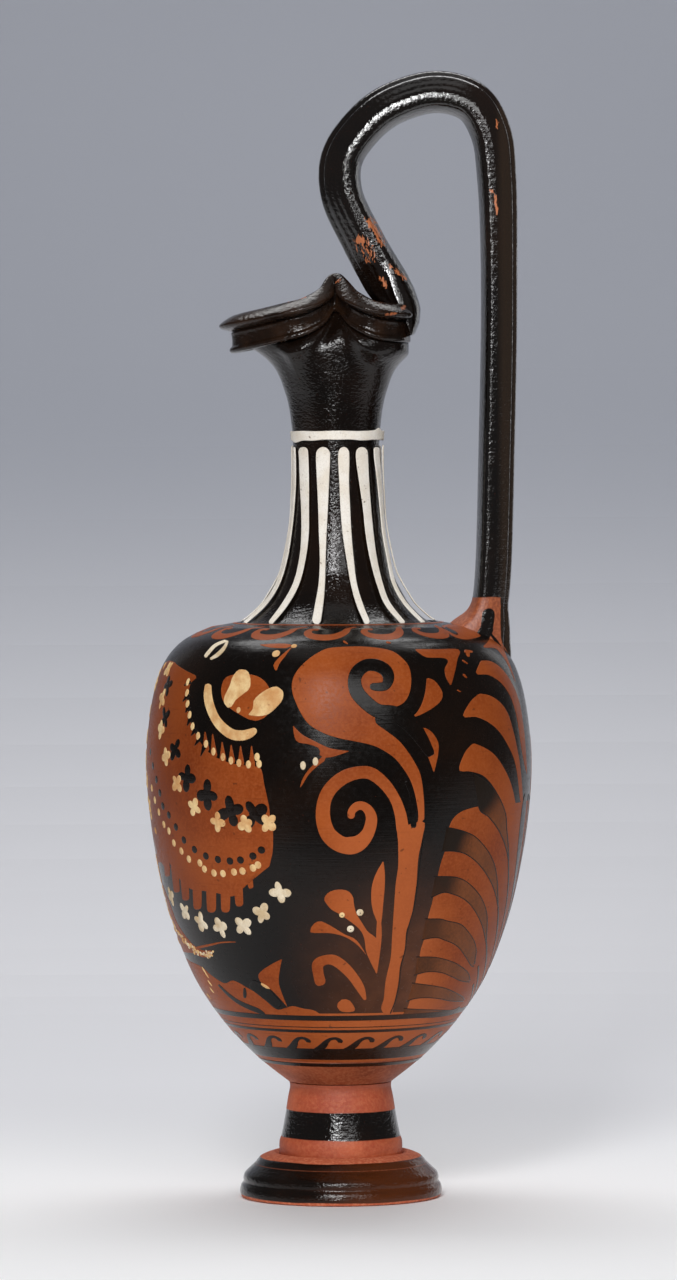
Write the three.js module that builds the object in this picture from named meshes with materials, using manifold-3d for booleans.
// Trefoil oinochoe: a wheel-thrown clay pouring jug with a pinched mouth and a high looped handle.
// Millimetres, +Z up. The origin is on the wheel's axis, at the plane that the foot rests on.
// The spout points to -X and the handle stands at +X.
import * as THREE from "three";
import { mergeVertices } from "three/addons/utils/BufferGeometryUtils.js";
import Module from "manifold-3d";

const wasm = await Module();
wasm.setup();

// Making
const slipGap = 0.3; // room for the luting slip between two pieces
const wheelFacets = 44; // facets round the wheel's axis
const mouthSteps = 52; // stations round the trefoil; a multiple of four puts one at each pinch

// Foot disc
const discRadius = 33.4;
const discHeight = 14.5;
const restWidth = 5.3; // width of the ring that touches the table
const discHollowDepth = 9.6; // how far the turned hollow reaches up under the disc
const stemSeatDepth = 2.2; // turned seat for the stem in the top of the disc
const grooveDepth = 0.9; // groove scraped round that seat
const grooveWidth = 0.6;

// Foot stem
const stemHeight = 23.2; // from the disc's top to the underside of the body
const stemBaseRadius = 20.3;
const stemTopRadius = 16.7;
const stemBore = 8.7;
const stemBoreFlare = 3.3; // how much wider the bore is at the stem's foot

// Body
const bodyHeight = 151.6;
const bodyRadius = 63.5;
const bodyWall = 4;
const bodyFloor = 5;
const bossDepth = 3; // plug under the floor that sits in the stem's bore
const shoulderMouth = 24.6; // radius of the hole in the shoulder
const neckSeatRadius = 33;
const neckSeatDepth = 1.4;

// Neck
const neckHeight = 92; // from the shoulder to the underside of the collar at the back
const neckRadius = 15.2;
const neckWall = 3.6;
const spigotDepth = 4.2; // how far the neck's spigot hangs into the shoulder
const funnelHeight = 23; // under the collar, where the neck opens from round to trefoil
const brimInset = 0.5; // how far the neck's brim stands back from the band above it

// Trefoil mouth, measured to the outer face of the collar's band
const spoutReach = 34.8;
const spoutHalfWidth = 16.2;
const backReach = 24.2;
const backHalfWidth = 20.4;
const pinchHalfWidth = 10.2;
const pinchX = -0.6; // where the two wings meet at the pinches
const foldGap = 0.24; // room left between the wings in the fold
const pinchLift = 9.9; // how much higher the collar rides at the pinches than at the back
const spoutDrop = 3.4; // how much lower it hangs at the spout
const bandHeight = 6.8;
const lipReach = 4; // how far the lip stands out over the band
const lipRise = 5.8;
const collarSeat = 4.3; // height of the neck's rim inside the collar
const skirtThickness = 2.3; // thickness of the band outside the neck's rim
const skirtBevel = 0.6; // cut off the skirt's inner lower edge
const mouthWall = 5.8;

// Handle
const handleRise = 69.6; // from the rim at the back to the crown of the loop's centreline
const handleReach = 53.4; // from the axis to the upright's centreline
const loopFront = 1.7; // how near the loop's bow comes to the axis
const handleWidth = 18;
const loopThickness = 13.9;
const uprightThickness = 12;
const rootThickness = 27; // where the strap's foot is smeared over the shoulder
const rootSpread = 0.3; // how much wider the strap is there, as a share
const seatThickness = 5.4; // where the strap is pressed thin over the collar

// Heights that follow
const stemTop = discHeight + stemHeight;
const bodyBase = stemTop + slipGap;
const shoulderTop = bodyBase + bodyHeight;
const collarBase = shoulderTop + neckHeight;
const rimBack = collarBase + bandHeight + lipRise;

const point = (x, y) => new THREE.Vector2(x, y);

// A smooth line through hand-set points, each a pair of shares scaled by width and height.
function curveThrough(shares, width, height, base, steps) {
  const points = shares.map(([r, z]) => point(r * width, base + z * height));
  return new THREE.SplineCurve(points).getPoints(steps);
}

// The same line moved sideways by a wall, to the left of its direction of travel.
function besideLine(line, wall) {
  return line.map((p, i) => {
    const a = line[Math.max(i - 1, 0)];
    const b = line[Math.min(i + 1, line.length - 1)];
    const along = b.clone().sub(a).normalize();
    return point(p.x - along.y * wall, p.y + along.x * wall);
  });
}

// Turned on the wheel: a closed outline of radius and height goes round the axis.
function turned(outline) {
  const lathe = new THREE.LatheGeometry([...outline, outline[0].clone()], wheelFacets);
  return lathe.rotateX(Math.PI / 2);
}

// A closed skin through rings: each joins the next and the last joins the first.
function skinOf(rings) {
  const around = rings[0].length;
  const positions = rings.flat().flatMap((p) => [p.x, p.y, p.z]);
  const index = [];
  rings.forEach((_, k) => {
    const next = (k + 1) % rings.length;
    for (let i = 0; i < around; i++) {
      const j = (i + 1) % around;
      const a = k * around + i;
      const b = k * around + j;
      const c = next * around + j;
      const d = next * around + i;
      index.push(a, b, c, a, c, d);
    }
  });
  const geometry = new THREE.BufferGeometry();
  geometry.setAttribute("position", new THREE.Float32BufferAttribute(positions, 3));
  return geometry.setIndex(index);
}

// A geometry as a solid, and back.
function solid(geometry) {
  const bare = geometry.clone();
  bare.deleteAttribute("normal");
  bare.deleteAttribute("uv");
  const merged = mergeVertices(bare, 1e-4);
  const mesh = new wasm.Mesh({
    numProp: 3,
    vertProperties: new Float32Array(merged.attributes.position.array),
    triVerts: new Uint32Array(merged.index.array),
  });
  return new wasm.Manifold(mesh);
}

function geometryOf(made) {
  const mesh = made.getMesh();
  const geometry = new THREE.BufferGeometry();
  geometry.setAttribute("position", new THREE.Float32BufferAttribute(mesh.vertProperties, 3));
  return geometry.setIndex(new THREE.Uint32BufferAttribute(mesh.triVerts, 1));
}

// Foot disc: two mouldings round the edge, a ring to stand on, and a turned hollow underneath.
function footDisc() {
  const seatRadius = stemBaseRadius + slipGap;
  const seatFloor = discHeight - stemSeatDepth;
  const edge = curveThrough(
    [[0.985, 0], [1, 0.11], [0.99, 0.24], [0.966, 0.33], [0.966, 0.42], [0.952, 0.52], [0.9, 0.64],
      [0.85, 0.75], [0.8, 0.88], [0.72, 0.965], [0.66, 1]],
    discRadius, discHeight, 0, 15,
  );
  const restInner = edge[0].x - restWidth;
  const boreRadius = stemBore + stemBoreFlare;
  const hollow = [
    point(seatRadius + grooveWidth, discHeight - grooveDepth),
    point(seatRadius, discHeight - grooveDepth),
    point(seatRadius, seatFloor),
    point(boreRadius, seatFloor),
    point(boreRadius, discHollowDepth),
    point(boreRadius + 0.4 * (restInner - boreRadius), discHollowDepth * 0.68),
    point(boreRadius + 0.8 * (restInner - boreRadius), discHollowDepth * 0.32),
    point(restInner, 0),
  ];
  return turned([...edge, ...hollow]);
}

// Foot stem: a hollow flaring pedestal, its foot let into the disc.
function footStem() {
  const base = discHeight - stemSeatDepth + slipGap;
  const flare = stemBaseRadius - stemTopRadius;
  const outside = [[1, 0], [1, 0.2], [0.82, 0.29], [0.6, 0.44], [0.4, 0.6], [0.18, 0.8], [0, 0.93],
    [0.06, 1]];
  const skin = outside.map(([f, h]) => point(stemTopRadius + f * flare, base + h * (stemTop - base)));
  const outline = new THREE.SplineCurve(skin).getPoints(8);
  const inside = [
    point(stemBore, stemTop),
    point(stemBore, stemTop - bossDepth * 2),
    point(stemBore + stemBoreFlare, base),
  ];
  return turned([...outline, ...inside]);
}

// Outer line of the body from its foot to the neck's seat.
const bodyShape = [[0.272, 0], [0.376, 0.034], [0.463, 0.067], [0.608, 0.133], [0.759, 0.23], [0.879, 0.361],
  [0.951, 0.491], [0.99, 0.607], [1, 0.706], [0.981, 0.798], [0.945, 0.871], [0.888, 0.925], [0.795, 0.964],
  [0.66, 0.99]];

function bodyOutline(grow) {
  const line = curveThrough(bodyShape, bodyRadius, bodyHeight, bodyBase, 24);
  line.push(point(neckSeatRadius, shoulderTop));
  return besideLine(line, -grow);
}

// Body: one thrown shell with a thick floor, a plug under it and a seat for the neck.
function body() {
  const outside = bodyOutline(0);
  const inside = besideLine(outside, bodyWall)
    .filter((p, i) => i % 3 === 0 && p.y > bodyBase + bodyFloor && p.x > shoulderMouth)
    .reverse();
  const low = inside[inside.length - 1];
  const bossRadius = stemBore - slipGap;
  const floorTop = bodyBase + bodyFloor;
  const outline = [
    ...outside,
    point(neckSeatRadius, shoulderTop - neckSeatDepth),
    point(shoulderMouth, shoulderTop - neckSeatDepth),
    point(shoulderMouth, inside[0].y),
    ...inside,
    point(low.x * 0.55, floorTop),
    point(0, floorTop),
    point(0, bodyBase - bossDepth),
    point(bossRadius, bodyBase - bossDepth),
    point(bossRadius, bodyBase),
  ];
  const lathe = new THREE.LatheGeometry(
    [...outline.slice(outline.findIndex((p) => p.x === 0 && p.y < floorTop)),
      ...outline.slice(0, outline.findIndex((p) => p.x === 0) + 1)],
    wheelFacets,
  );
  return lathe.rotateX(Math.PI / 2);
}

// Plan of the collar's band seen from above, for one side: shares of reach and of half width, then a
// share of the lift at the pinches, or below zero of the drop at the spout.
function collarPath() {
  const back = [[1, 0, 0], [0.97, 0.4, -0.06], [0.8, 0.8, -0.06], [0.5, 1, 0.08], [0.2, 0.88, 0.44]];
  const front = [[0.12, 0.86, 0.55], [0.3, 1, 0.19], [0.5, 0.96, 0.02], [0.75, 0.74, -0.5],
    [0.93, 0.42, -0.85]];
  const heightOf = (share) => share * (share > 0 ? pinchLift : spoutDrop);
  const half = [
    ...back.map(([x, y, share]) => [x * backReach, y * backHalfWidth, heightOf(share)]),
    [pinchX, pinchHalfWidth, pinchLift],
    ...front.map(([x, y, share]) => [-x * spoutReach, y * spoutHalfWidth, heightOf(share)]),
    [-spoutReach, 0, -spoutDrop],
  ];
  const other = half.slice(1, -1).reverse().map(([x, y, z]) => [x, -y, z]);
  const points = [...half, ...other].map(([x, y, z]) => new THREE.Vector3(x, y, collarBase + z));
  return new THREE.CatmullRomCurve3(points, true, "centripetal");
}

// Places round the collar, each with its way out and how open its part of the plan is.
const stations = Array.from({ length: mouthSteps }, (_, i) => {
  const path = collarPath();
  const at = path.getPoint(i / mouthSteps);
  const along = path.getTangent(i / mouthSteps).setZ(0).normalize();
  const out = new THREE.Vector3(along.y, -along.x, 0);
  const rim = at.clone().addScaledVector(out, -skirtThickness - slipGap);
  const reach = Math.hypot(rim.x, rim.y);
  const open = THREE.MathUtils.smoothstep(reach, pinchHalfWidth, backReach - skirtThickness);
  const overhang = THREE.MathUtils.smoothstep(-at.x, spoutReach * 0.2, spoutReach * 0.7);
  return { at, out, rim, open, overhang, angle: Math.atan2(at.y, at.x) };
});

// A place out from the band by n and up from its lower edge by v. At the pinches the two wings meet
// in a fold, so neither crosses the plane between them.
function besideBand(station, n, v) {
  const p = station.at.clone().addScaledVector(station.out, n);
  p.z = station.at.z + v;
  const away = station.at.x - pinchX;
  const leave = Math.min(Math.abs(away), foldGap / 2);
  if (away < 0) p.x = Math.min(p.x, pinchX - leave);
  if (away > 0) p.x = Math.max(p.x, pinchX + leave);
  return p;
}

// Neck: round where it leaves the shoulder, drawn out to the trefoil under the collar.
function neck() {
  const base = shoulderTop - neckSeatDepth + slipGap;
  const flangeRadius = neckSeatRadius - slipGap;
  const spigotRadius = shoulderMouth - slipGap;
  const roundTop = collarBase - funnelHeight;
  const flareShape = [[2.151, 0], [1.974, 0.024], [1.69, 0.083], [1.52, 0.14], [1.368, 0.198], [1.257, 0.254],
    [1.138, 0.37], [1.053, 0.485], [1.02, 0.6], [1, 0.716], [1, 0.87], [1.033, 0.943], [1.066, 1]];
  const roundLine = curveThrough(flareShape, neckRadius, roundTop - shoulderTop, shoulderTop, 13);
  const ring = (radius, z) =>
    stations.map((s) => new THREE.Vector3(radius * Math.cos(s.angle), radius * Math.sin(s.angle), z));
  const lower = roundLine.map((p) => ring(Math.min(p.x, flangeRadius), p.y));
  const widening = new THREE.SplineCurve(
    [[0, 1.066], [0.17, 1.12], [0.33, 1.197], [0.5, 1.29], [0.66, 1.414], [0.86, 1.6], [1, 1.74]]
      .map(([s, r]) => point(s, r * neckRadius)),
  );
  const brims = stations.map((s) => {
    const inset = THREE.MathUtils.lerp(brimInset, skirtThickness + slipGap, Math.min(2 * s.overhang, 1));
    const height = (collarSeat - skirtBevel) * Math.max(2 * s.overhang - 1, 0) - slipGap;
    return s.at.clone().addScaledVector(s.out, -inset).setZ(s.at.z + height);
  });
  const upper = [];
  const upperSteps = 8;
  for (let k = 1; k <= upperSteps; k++) {
    const share = k / upperSteps;
    const widened = widening.getPoint(share).y;
    upper.push(stations.map((s, i) => {
      const brim = brims[i];
      const drawn = Math.pow(share, 2 + 8 * s.open);
      const radius = Math.min(widened, Math.max(Math.hypot(brim.x, brim.y), backReach - brimInset));
      const round = new THREE.Vector3(radius * Math.cos(s.angle), radius * Math.sin(s.angle), 0);
      return round.lerp(brim, drawn).setZ(roundTop + (brim.z - roundTop) * share);
    }));
  }
  const rebate = stations.map((s, i) => s.rim.clone().setZ(brims[i].z));
  const rimOutside = stations.map((s) => s.rim.clone().setZ(s.at.z + collarSeat));
  const rimInside = stations.map((s) => {
    const p = s.at.clone().addScaledVector(s.out, -mouthWall);
    return p.setZ(s.at.z + collarSeat);
  });
  const outside = [...lower, ...upper];
  const inside = outside
    .map((r, k) => r.map((p, i) => inward(outside, k, i, neckWall)))
    .filter((r, k) => k % 3 === 0 && Math.min(...r.map((p) => p.z)) > base + neckWall / 2)
    .reverse();
  const innerRadius = spigotRadius - neckWall;
  const skin = skinOf([
    ring(flangeRadius, base),
    ...outside,
    rebate,
    rimOutside,
    rimInside,
    ...inside,
    ring(innerRadius, base),
    ring(innerRadius, base - spigotDepth),
    ring(spigotRadius, base - spigotDepth),
    ring(spigotRadius, base),
  ]);
  const collarRoom = solid(trefoilMouth(slipGap));
  return geometryOf(largest(solid(skin).subtract(collarRoom)));
}

// A grid point moved square to the skin, into the wall.
function inward(rings, k, i, wall) {
  const around = rings[k].length;
  const up = rings[Math.min(k + 1, rings.length - 1)][i].clone().sub(rings[Math.max(k - 1, 0)][i]);
  const round = rings[k][(i + 1) % around].clone().sub(rings[k][(i + around - 1) % around]);
  const out = round.cross(up).normalize();
  return rings[k][i].clone().addScaledVector(out, -wall);
}

// Trefoil mouth: a collar with a hanging skirt, a groove and an outturned lip, seated on the neck's rim.
// Its section goes up the band, out and over the lip and down inside to the seat; grow widens it.
function mouthSection(grow) {
  const band = [[-0.52, 0], [-0.09, 0.07], [0.07, 0.24], [-0.07, 0.47], [-0.04, 0.79], [0.04, 0.96],
    [-0.22, 1.01]];
  const lip = [[0.15, 0.07], [0.75, 0.17], [1, 0.33], [0.9, 0.48], [0.35, 0.78]];
  const hollow = [[0.24, 1], [0.59, 0.93], [0.84, 0.66], [0.97, 0.21]];
  const loop = [
    point(-skirtThickness, skirtBevel),
    ...band.map(([n, v]) => point(n * skirtThickness, v * bandHeight)),
    ...lip.map(([n, v]) => point(n * lipReach, bandHeight + v * lipRise)),
    ...hollow.map(([n, v]) => point(-n * mouthWall, bandHeight + v * lipRise)),
    point(-mouthWall, collarSeat + slipGap),
    point(-skirtThickness, collarSeat + slipGap),
  ];
  if (!grow) return loop;
  return loop.map((p, i) => {
    const a = loop[(i + loop.length - 1) % loop.length];
    const b = loop[(i + 1) % loop.length];
    const along = b.clone().sub(a).normalize();
    return point(p.x + along.y * grow, p.y - along.x * grow);
  });
}

function trefoilMouth(grow = 0) {
  return skinOf(mouthSection(grow).map((q) => stations.map((s) => besideBand(s, q.x, q.y))));
}

// Centreline of the handle from its seat on the collar, over the loop and down to the shoulder.
function handleLine() {
  const span = handleReach - loopFront;
  const crown = rimBack + handleRise;
  const rise = crown - collarBase;
  const upright = collarBase - shoulderTop;
  const loop = [[0.436, 0.025], [0.365, 0.14], [0.282, 0.232], [0.13, 0.413], [0.002, 0.595], [0.002, 0.73],
    [0.11, 0.843], [0.3, 0.944], [0.61, 1], [0.84, 0.956], [0.952, 0.838], [0.99, 0.654], [1.002, 0.172]];
  const points = loop.map(([x, z]) => new THREE.Vector3(loopFront + x * span, 0, collarBase + z * rise));
  const down = [[0.983, 0.616], [0.959, 0.184], [0.942, 0.077], [0.918, 0.004], [0.873, -0.061],
    [0.815, -0.137]];
  down.forEach(([x, z]) => points.push(new THREE.Vector3(x * handleReach, 0, shoulderTop + z * upright)));
  return new THREE.CatmullRomCurve3(points, false, "centripetal");
}

// Section of the strap in half widths and half thicknesses: a rib down the back between two flutes,
// rolled edges, and a gently swelling underside.
const strapSection = [[0, 1], [0.16, 0.93], [0.27, 0.74], [0.4, 0.66], [0.56, 0.7], [0.74, 0.62], [0.9, 0.38],
  [0.99, 0.05], [0.95, -0.26], [0.8, -0.48], [0.66, -0.54], [0.5, -0.74], [0.26, -0.94], [0, -1]];

// How thick the strap is at a share of its length from the collar to the shoulder.
function thicknessAt(share) {
  const { lerp, smoothstep } = THREE.MathUtils;
  const seat = lerp(seatThickness, loopThickness, smoothstep(share, 0, 0.07));
  const strap = lerp(seat, uprightThickness, smoothstep(share, 0.35, 0.6));
  return lerp(strap, rootThickness, smoothstep(share, 0.93, 1));
}

function handle() {
  const line = handleLine();
  const steps = 52;
  const mirrored = strapSection.slice(1, -1).reverse().map(([u, v]) => [-u, v]);
  const section = [...strapSection, ...mirrored].reverse();
  const rings = [];
  for (let k = 0; k <= steps; k++) {
    const share = k / steps;
    const at = line.getPointAt(share);
    const along = line.getTangentAt(share);
    const out = new THREE.Vector3(-along.z, 0, along.x);
    const halfThickness = thicknessAt(share) / 2;
    const spread = 1 + rootSpread * THREE.MathUtils.smoothstep(share, 0.93, 1);
    const halfWidth = (handleWidth / 2) * spread;
    rings.push(section.map(([u, v]) => at.clone()
      .addScaledVector(out, v * halfThickness)
      .add(new THREE.Vector3(0, u * halfWidth, 0))));
  }
  const strap = solid(capped(rings));
  const mouthRoom = solid(trefoilMouth(slipGap));
  const neckRoom = solid(neckBlock());
  const shoulder = solid(turnedBlock(bodyOutline(slipGap)));
  const cut = strap.subtract(mouthRoom).subtract(neckRoom).subtract(shoulder);
  return geometryOf(largest(cut));
}

// The strap's rings closed by a fan at each end.
function capped(rings) {
  const around = rings[0].length;
  const positions = rings.flat().flatMap((p) => [p.x, p.y, p.z]);
  const index = [];
  for (let k = 0; k + 1 < rings.length; k++) {
    for (let i = 0; i < around; i++) {
      const j = (i + 1) % around;
      const a = k * around + i;
      const b = k * around + j;
      index.push(a, b, b + around, a, b + around, a + around);
    }
  }
  [rings[0], rings[rings.length - 1]].forEach((ring, end) => {
    const middle = ring.reduce((sum, p) => sum.add(p), new THREE.Vector3()).divideScalar(around);
    const centre = positions.length / 3;
    positions.push(middle.x, middle.y, middle.z);
    const first = end ? (rings.length - 1) * around : 0;
    for (let i = 0; i < around; i++) {
      const a = first + i;
      const b = first + ((i + 1) % around);
      if (end) index.push(centre, a, b);
      else index.push(centre, b, a);
    }
  });
  const geometry = new THREE.BufferGeometry();
  geometry.setAttribute("position", new THREE.Float32BufferAttribute(positions, 3));
  return geometry.setIndex(index);
}

// What the handle may not enter: the filled inside of the mouth and neck, and the filled body.
function neckBlock() {
  const low = collarBase - funnelHeight / 2;
  const foot = stations.map((s) => s.rim.clone().multiplyScalar(0.5).setZ(low));
  const top = stations.map((s) => {
    const p = s.at.clone().addScaledVector(s.out, -brimInset * 2);
    return p.setZ(s.at.z + bandHeight);
  });
  return capped([foot, top]);
}

function turnedBlock(line) {
  const outline = [point(0, line[0].y), ...line, point(0, line[line.length - 1].y)];
  return new THREE.LatheGeometry(outline, wheelFacets).rotateX(Math.PI / 2);
}

function largest(made) {
  return made.decompose().reduce((a, b) => (b.volume() > a.volume() ? b : a));
}

const clay = new THREE.Color(0xb0603c);
const gloss = new THREE.Color(0x17120f);
const piece = (name, geometry, color, roughness) => {
  const mesh = new THREE.Mesh(geometry, new THREE.MeshStandardMaterial({ color, roughness, metalness: 0 }));
  mesh.name = name;
  return mesh;
};

const jug = new THREE.Group();
jug.add(
  piece("foot_disc", footDisc(), gloss, 0.35),
  piece("foot_stem", footStem(), clay, 0.75),
  piece("body", body(), gloss, 0.35),
  piece("neck", neck(), gloss, 0.35),
  piece("trefoil_mouth", trefoilMouth(), gloss, 0.3),
  piece("handle", handle(), gloss, 0.3),
);

export default jug;
